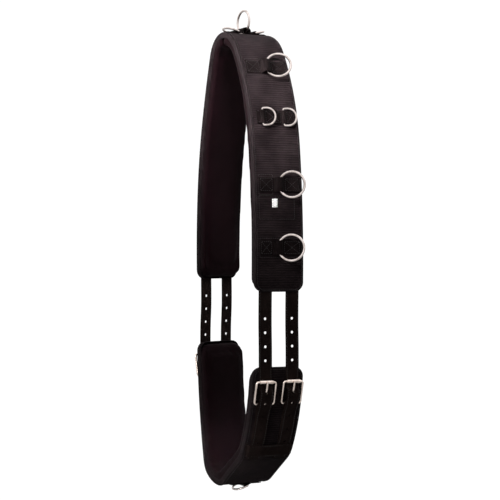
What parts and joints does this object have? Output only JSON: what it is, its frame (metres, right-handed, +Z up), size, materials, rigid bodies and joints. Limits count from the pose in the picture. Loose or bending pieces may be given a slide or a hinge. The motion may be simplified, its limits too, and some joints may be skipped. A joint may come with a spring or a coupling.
{
  "type": "lunging surcingle",
  "caption": "Padded webbing surcingle buckled into a closed loop, with harness rings, dees and roller buckles.",
  "frame": {"origin": "where a hook bears inside the top of the crown ring that the loop hangs from", "axes": "+Z up; the loop lies in the X-Z plane with its near side at +X; +Y runs across the band toward its rear edge"},
  "size_m": [0.2876, 0.0989, 0.8998],
  "materials": {
    "web": "wide ribbed nylon webbing, matte",
    "foam": "closed-cell foam faced with smooth neoprene",
    "tape": "narrow nylon webbing and binding tape",
    "label": "blank woven label",
    "ring_steel": "nickel plated wire",
    "buckle_steel": "nickel plated wire, worn"
  },
  "bodies": {
    "straps": {"upper_web": "web", "upper_core": "web", "upper_binding": "tape", "pad_right": "foam", "pad_left": "foam", "girth_web": "web", "girth_core": "web", "girth_binding": "tape", "girth_pad": "foam", "tab_high_right": "tape", "tab_middle_right": "tape", "tab_low_right": "tape", "dee_strip_right": "tape", "tab_high_left": "tape", "tab_middle_left": "tape", "tab_low_left": "tape", "dee_strip_left": "tape", "crown_strip": "tape", "size_label": "label", "keel_strip": "tape", "buckle_frame_front_right": "buckle_steel", "chape_front_right": "tape", "billet_front_right": "tape", "buckle_frame_rear_right": "buckle_steel", "chape_rear_right": "tape", "billet_rear_right": "tape", "keeper_right": "tape", "buckle_frame_front_left": "buckle_steel", "chape_front_left": "tape", "billet_front_left": "tape", "buckle_frame_rear_left": "buckle_steel", "chape_rear_left": "tape", "billet_rear_left": "tape", "keeper_left": "tape"},
    "ring_high_right": {"ring_high_right": "ring_steel"},
    "ring_middle_right": {"ring_middle_right": "ring_steel"},
    "ring_low_right": {"ring_low_right": "ring_steel"},
    "dee_front_right": {"dee_front_right": "ring_steel"},
    "dee_rear_right": {"dee_rear_right": "ring_steel"},
    "ring_high_left": {"ring_high_left": "ring_steel"},
    "ring_middle_left": {"ring_middle_left": "ring_steel"},
    "ring_low_left": {"ring_low_left": "ring_steel"},
    "dee_front_left": {"dee_front_left": "ring_steel"},
    "dee_rear_left": {"dee_rear_left": "ring_steel"},
    "crown_ring": {"crown_ring": "ring_steel"},
    "crown_dee_front": {"crown_dee_front": "ring_steel"},
    "crown_dee_rear": {"crown_dee_rear": "ring_steel"},
    "keel_dee": {"keel_dee": "ring_steel"},
    "buckle_roller_front_right": {"buckle_roller_front_right": "buckle_steel"},
    "buckle_prong_front_right": {"buckle_prong_front_right": "buckle_steel"},
    "buckle_roller_rear_right": {"buckle_roller_rear_right": "buckle_steel"},
    "buckle_prong_rear_right": {"buckle_prong_rear_right": "buckle_steel"},
    "buckle_roller_front_left": {"buckle_roller_front_left": "buckle_steel"},
    "buckle_prong_front_left": {"buckle_prong_front_left": "buckle_steel"},
    "buckle_roller_rear_left": {"buckle_roller_rear_left": "buckle_steel"},
    "buckle_prong_rear_left": {"buckle_prong_rear_left": "buckle_steel"}
  },
  "joints": [
    {"name": "ring_high_right_swing", "type": "hinge", "parent": "straps", "child": "ring_high_right", "pos_m": [0.07921, -0.00077, -0.11147], "axis": [0.3988, -0.066, -0.9146], "range_deg": [-14, 145]},
    {"name": "ring_middle_right_swing", "type": "hinge", "parent": "straps", "child": "ring_middle_right", "pos_m": [0.12442, -0.00092, -0.32819], "axis": [0.0665, -0.0121, -0.9977], "range_deg": [-14, 145]},
    {"name": "ring_low_right_swing", "type": "hinge", "parent": "straps", "child": "ring_low_right", "pos_m": [0.12829, -0.00486, -0.44137], "axis": [0.0119, -0.0022, -0.9999], "range_deg": [-14, 145]},
    {"name": "dee_front_right_swing", "type": "hinge", "parent": "straps", "child": "dee_front_right", "pos_m": [0.10576, -0.02348, -0.20547], "axis": [0.2051, -0.0364, -0.9781], "range_deg": [-7, 136]},
    {"name": "dee_rear_right_swing", "type": "hinge", "parent": "straps", "child": "dee_rear_right", "pos_m": [0.11293, 0.01689, -0.20547], "axis": [0.2051, -0.0364, -0.9781], "range_deg": [-7, 136]},
    {"name": "ring_high_left_swing", "type": "hinge", "parent": "straps", "child": "ring_high_left", "pos_m": [-0.06732, -0.00086, -0.11999], "axis": [0.2459, 0.0432, 0.9683], "range_deg": [-14, 145]},
    {"name": "ring_middle_left_swing", "type": "hinge", "parent": "straps", "child": "ring_middle_left", "pos_m": [-0.10505, -0.00092, -0.33836], "axis": [0.0651, 0.0118, 0.9978], "range_deg": [-14, 145]},
    {"name": "ring_low_left_swing", "type": "hinge", "parent": "straps", "child": "ring_low_left", "pos_m": [-0.10786, -0.00486, -0.45166], "axis": [-0.0047, -0.0009, 1], "range_deg": [-14, 145]},
    {"name": "dee_front_left_swing", "type": "hinge", "parent": "straps", "child": "dee_front_left", "pos_m": [-0.08506, -0.02349, -0.21587], "axis": [0.1825, 0.0326, 0.9827], "range_deg": [-7, 136]},
    {"name": "dee_rear_left_swing", "type": "hinge", "parent": "straps", "child": "dee_rear_left", "pos_m": [-0.09226, 0.01687, -0.21587], "axis": [0.1825, 0.0326, 0.9827], "range_deg": [-7, 136]},
    {"name": "crown_ring_swing", "type": "hinge", "parent": "straps", "child": "crown_ring", "pos_m": [0, 0, -0.03925], "axis": [1, 0, 0], "range_deg": [-65, 65]},
    {"name": "crown_dee_front_swing", "type": "hinge", "parent": "straps", "child": "crown_dee_front", "pos_m": [0, -0.019, -0.0395], "axis": [-1, 0, 0], "range_deg": [-7, 96]},
    {"name": "crown_dee_rear_swing", "type": "hinge", "parent": "straps", "child": "crown_dee_rear", "pos_m": [0, 0.019, -0.0395], "axis": [1, 0, 0], "range_deg": [-7, 96]},
    {"name": "keel_dee_swing", "type": "hinge", "parent": "straps", "child": "keel_dee", "pos_m": [-0.01036, 0.007, -0.88561], "axis": [1, 0.0016, -0.0087], "range_deg": [-12, 130]},
    {"name": "buckle_roller_front_right_spin", "type": "hinge", "parent": "straps", "child": "buckle_roller_front_right", "pos_m": [0.12565, -0.02772, -0.68132], "axis": [0.1726, 0.9847, -0.0226], "continuous": true},
    {"name": "buckle_prong_front_right_lift", "type": "hinge", "parent": "straps", "child": "buckle_prong_front_right", "pos_m": [0.1157, -0.02689, -0.72133], "axis": [0.1756, 0.9845, 0], "range_deg": [0, 2.5]},
    {"name": "buckle_roller_rear_right_spin", "type": "hinge", "parent": "straps", "child": "buckle_roller_rear_right", "pos_m": [0.13491, 0.02345, -0.68132], "axis": [0.1725, 0.9847, -0.0226], "continuous": true},
    {"name": "buckle_prong_rear_right_lift", "type": "hinge", "parent": "straps", "child": "buckle_prong_rear_right", "pos_m": [0.12483, 0.0243, -0.72133], "axis": [0.1756, 0.9845, 0], "range_deg": [0, 2.5]},
    {"name": "buckle_roller_front_left_spin", "type": "hinge", "parent": "straps", "child": "buckle_roller_front_left", "pos_m": [-0.10442, -0.02772, -0.64613], "axis": [-0.1766, 0.9842, -0.0112], "continuous": true},
    {"name": "buckle_prong_front_left_lift", "type": "hinge", "parent": "straps", "child": "buckle_prong_front_left", "pos_m": [-0.09738, -0.02692, -0.68604], "axis": [0.1782, -0.984, 0], "range_deg": [0, 2.5]},
    {"name": "buckle_roller_rear_left_spin", "type": "hinge", "parent": "straps", "child": "buckle_roller_rear_left", "pos_m": [-0.1137, 0.02344, -0.64613], "axis": [-0.1766, 0.9842, -0.0112], "continuous": true},
    {"name": "buckle_prong_rear_left_lift", "type": "hinge", "parent": "straps", "child": "buckle_prong_rear_left", "pos_m": [-0.10665, 0.02425, -0.68604], "axis": [0.1782, -0.984, 0], "range_deg": [0, 2.5]}
  ]
}
